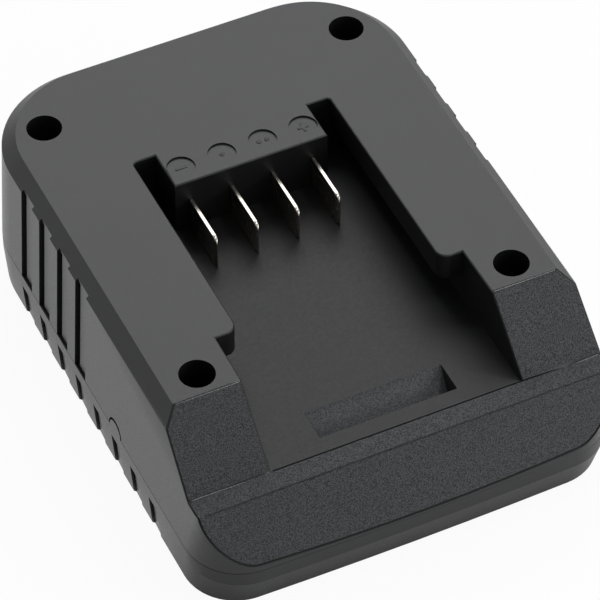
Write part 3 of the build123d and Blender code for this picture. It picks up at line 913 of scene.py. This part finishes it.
class DOCK_OT_circuit_board(bpy.types.Operator):
    """Gives the circuit board and the plain parts on it their finishes"""

    bl_idname = "dock.circuit_board"
    bl_label = "Circuit board"

    def execute(self, context):
        dress("circuit_board", masked_laminate())
        # Pressed and sintered ferrite: dark grey, matt and slightly grainy.
        ferrite = speckled(
            "sintered_ferrite", linear("#2c2c2e"), linear("#3e3e40"), 0.3 * MM, 0.65,
            relief=0.02 * MM,
        )
        dress("power_inductor", ferrite)
        # Filled silicone sheet: pale grey-blue, waxy, with specks of the ceramic filler.
        silicone = speckled(
            "filled_silicone_sheet", linear("#8f98a3"), linear("#a9b1ba"), 0.25 * MM, 0.7, ior=1.4
        )
        dress("thermal_pad", silicone)
        # Extruded aluminium, etched: matt silver with faint die lines along the fins.
        aluminium = speckled(
            "extruded_aluminium", linear("#a2a5a8"), linear("#c3c6c9"), 0.3 * MM, 0.45, 1.0,
            stretch=(1, 0.04, 1),
        )
        dress("heat_sink", aluminium)
        return {"FINISHED"}


class DOCK_OT_board_parts(bpy.types.Operator):
    """Makes the board parts that have more than one material"""

    bl_idname = "dock.board_parts"
    bl_label = "Board parts"

    @staticmethod
    def piece(node, name, materials, second, slot):
        """A copy of a solid whose faces take the second material where a test says so."""
        bm = merged_solid(node)
        for face in bm.faces:
            face.material_index = 1 if second(face.calc_center_median()) else 0
        finish_piece(bm, name, materials, node)

    def execute(self, context):
        # Shrunk sleeve on an electrolytic can: smooth dark blue film, slightly wavy.
        sleeve = speckled("shrunk_sleeve", linear("#14202e"), linear("#1d2d40"), 1.5 * MM, 0.3)
        # Drawn aluminium can: bright, with faint clouds from the drawing die.
        can = speckled(
            "drawn_aluminium", linear("#b4b7ba"), linear("#d2d4d6"), 0.4 * MM, 0.3, 1.0
        )
        for node, name in (("input_capacitor", "input_can"), ("output_capacitor", "output_can")):
            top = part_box(node)[1].z
            self.piece(node, name, [sleeve, can], lambda c: c.z > top - NEAR, "can_aluminium")
        # Moulded epoxy package: near-black with a fine blasted surface.
        epoxy = speckled("moulded_epoxy", linear("#191a1b"), linear("#242526"), 0.15 * MM, 0.6)
        # Tinned copper lead frame: pale grey metal, softly clouded.
        tinned = speckled(
            "tinned_copper", linear("#b0b2b3"), linear("#cfd0d1"), 0.3 * MM, 0.32, 1.0
        )
        for node, name in (
            ("power_switch", "switch_package"), ("output_rectifier", "rectifier_package"),
        ):
            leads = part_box(node)[0].y + LEAD_LENGTH
            self.piece(node, name, [epoxy, tinned], lambda c: c.y < leads, "package_plastic")
        low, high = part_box("control_chip")
        chip_x = (low.x + high.x) / 2
        self.piece(
            "control_chip", "chip_package", [epoxy, tinned],
            lambda c: abs(c.x - chip_x) > CHIP_HALF, "package_plastic",
        )
        # Drawn soda-lime tube of a cartridge fuse: clear and slightly green, with faint drawing
        # lines along it.
        glass = speckled(
            "drawn_fuse_glass", linear("#dfe8e4"), linear("#f2f6f4"), 0.5 * MM, 0.06,
            relief=0.003 * MM, stretch=(1, 0.05, 1), transmission=0.9,
        )
        # Nickel-plated brass end cap: bright and lightly scuffed.
        cap = speckled("plated_end_cap", linear("#c2bfb6"), linear("#d8d5cd"), 0.4 * MM, 0.25, 1.0)
        low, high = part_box("input_fuse")
        fuse_y = (low.y + high.y) / 2
        self.piece(
            "input_fuse", "fuse_cartridge", [glass, cap],
            lambda c: abs(c.y - fuse_y) > GLASS_HALF, "fuse_glass",
        )
        return {"FINISHED"}


class DOCK_OT_stage(bpy.types.Operator):
    """Sets the floor, the soft lights and the camera"""

    bl_idname = "dock.stage"
    bl_label = "Stage"

    # Uncoated white paper, rolled smooth: near white where it is seen or mirrored, with a trace of
    # fibre and the dock's shadow. In front, where that shadow lies, it is mirrored dark.
    @staticmethod
    def paper():
        material, tree, shader, place = new_material("white_paper_floor", "ShaderNodeMixShader")
        rays = add_node(tree, "ShaderNodeLightPath").outputs
        mirrored = add_node(
            tree, "ShaderNodeMath", {"operation": "MAXIMUM"},
            {0: rays["Is Glossy Ray"], 1: rays["Is Transmission Ray"]},
        ).outputs[0]
        seen = add_node(
            tree, "ShaderNodeMath", {"operation": "MULTIPLY"},
            {0: rays["Is Camera Ray"], 1: FLOOR_SEEN},
        ).outputs[0]
        along = add_node(tree, "ShaderNodeSeparateXYZ", inputs={0: place}).outputs["Y"]
        past = add_node(
            tree, "ShaderNodeMath", {"operation": "SUBTRACT"}, {0: along, 1: SHADOW_Y}
        ).outputs[0]
        away = add_node(tree, "ShaderNodeMath", {"operation": "ABSOLUTE"}, {0: past}).outputs[0]
        lit = add_node(
            tree, "ShaderNodeMapRange", {"interpolation_type": "SMOOTHSTEP"},
            {
                "Value": away, "From Max": SHADOW_REACH,
                "To Min": FLOOR_SHADED, "To Max": FLOOR_MIRRORED,
            },
        ).outputs["Result"]
        share = add_node(
            tree, "ShaderNodeMath", {"operation": "MULTIPLY_ADD"}, {0: mirrored, 1: lit, 2: seen}
        ).outputs[0]
        fibres = add_node(
            tree, "ShaderNodeTexNoise", inputs={"Vector": place, "Scale": per_metre(2 * MM)}
        ).outputs["Fac"]
        colour = add_node(
            tree, "ShaderNodeValToRGB", inputs={"Fac": fibres},
            ramp=((NOISE_LOW, linear("#f2f2f2")), (NOISE_HIGH, linear("#f6f6f6"))),
        ).outputs["Color"]
        matt = add_node(tree, "ShaderNodeBsdfDiffuse", inputs={"Color": colour}).outputs["BSDF"]
        white = add_node(tree, "ShaderNodeEmission", inputs={"Strength": 1.0}).outputs["Emission"]
        set_inputs(tree, shader, {0: share, 1: matt, 2: white})
        return material

    @staticmethod
    def lamp(name, direction, distance, width, height, radiance):
        """A rectangle of even light that looks at the dock."""
        light = bpy.data.lights.new(name, "AREA")
        light.shape = "RECTANGLE"
        light.size = width
        light.size_y = height
        light.energy = radiance * pi * width * height
        lamp = bpy.data.objects.new(name, light)
        towards = Vector(direction).normalized()
        lamp.location = towards * distance
        lamp.rotation_euler = towards.to_track_quat("Z", "Y").to_euler()
        bpy.context.scene.collection.objects.link(lamp)

    def execute(self, context):
        scene = context.scene
        bm = bmesh.new()
        under = Matrix.Translation((0, 0, -NEAR))
        bmesh.ops.create_grid(bm, x_segments=1, y_segments=1, size=FLOOR_SIZE, matrix=under)
        mesh = bpy.data.meshes.new("floor")
        bm.to_mesh(mesh)
        bm.free()
        mesh.materials.append(self.paper())
        floor = bpy.data.objects.new("floor", mesh)
        scene.collection.objects.link(floor)

        world = bpy.data.worlds.new("studio")
        world.use_nodes = True
        background = world.node_tree.nodes["Background"]
        background.inputs["Color"].default_value = (1, 1, 1, 1)
        background.inputs["Strength"].default_value = WORLD_LIGHT
        scene.world = world
        for values in LAMPS:
            self.lamp(*values)

        camera_data = bpy.data.cameras.new("photo_camera")
        camera_data.sensor_width = CAMERA_SENSOR
        camera_data.lens = CAMERA_LENS
        camera_data.clip_start, camera_data.clip_end = CAMERA_CLIP
        camera = bpy.data.objects.new("photo_camera", camera_data)
        turn = Matrix((CAMERA_RIGHT, CAMERA_UP, CAMERA_BACK)).transposed().to_4x4()
        camera.matrix_world = Matrix.Translation(CAMERA_PLACE) @ turn
        scene.collection.objects.link(camera)
        scene.camera = camera
        scene.view_settings.view_transform = "Standard"
        return {"FINISHED"}


class DOCK_PT_panel(bpy.types.Panel):
    """The dock's pieces and finishes"""

    bl_idname = "DOCK_PT_panel"
    bl_label = "Charging Dock"
    bl_space_type = "VIEW_3D"
    bl_region_type = "UI"
    bl_category = "Dock"

    def draw(self, context):
        for group in (context.scene.dock_sizes, context.scene.dock_colours):
            for key in type(group).__annotations__:
                self.layout.prop(group, key)
        for operator in OPERATORS:
            self.layout.operator(operator.bl_idname)


OPERATORS = (
    DOCK_OT_top_housing,
    DOCK_OT_bottom_housing,
    DOCK_OT_contact_blades,
    DOCK_OT_terminal_signs,
    DOCK_OT_screws,
    DOCK_OT_feet,
    DOCK_OT_inlet,
    DOCK_OT_circuit_board,
    DOCK_OT_board_parts,
    DOCK_OT_stage,
)
CLASSES = (DockSizes, DockColours, *OPERATORS, DOCK_PT_panel)


def register():
    for cls in CLASSES:
        bpy.utils.register_class(cls)
    bpy.types.Scene.dock_sizes = PointerProperty(type=DockSizes)
    bpy.types.Scene.dock_colours = PointerProperty(type=DockColours)


def unregister():
    del bpy.types.Scene.dock_colours
    del bpy.types.Scene.dock_sizes
    for cls in reversed(CLASSES):
        bpy.utils.unregister_class(cls)


def main():
    register()
    bpy.ops.dock.top_housing()
    bpy.ops.dock.bottom_housing()
    bpy.ops.dock.contact_blades()
    bpy.ops.dock.terminal_signs()
    bpy.ops.dock.screws()
    bpy.ops.dock.feet()
    bpy.ops.dock.inlet()
    bpy.ops.dock.circuit_board()
    bpy.ops.dock.board_parts()
    bpy.ops.dock.stage()


if __name__ == "__main__":
    main()
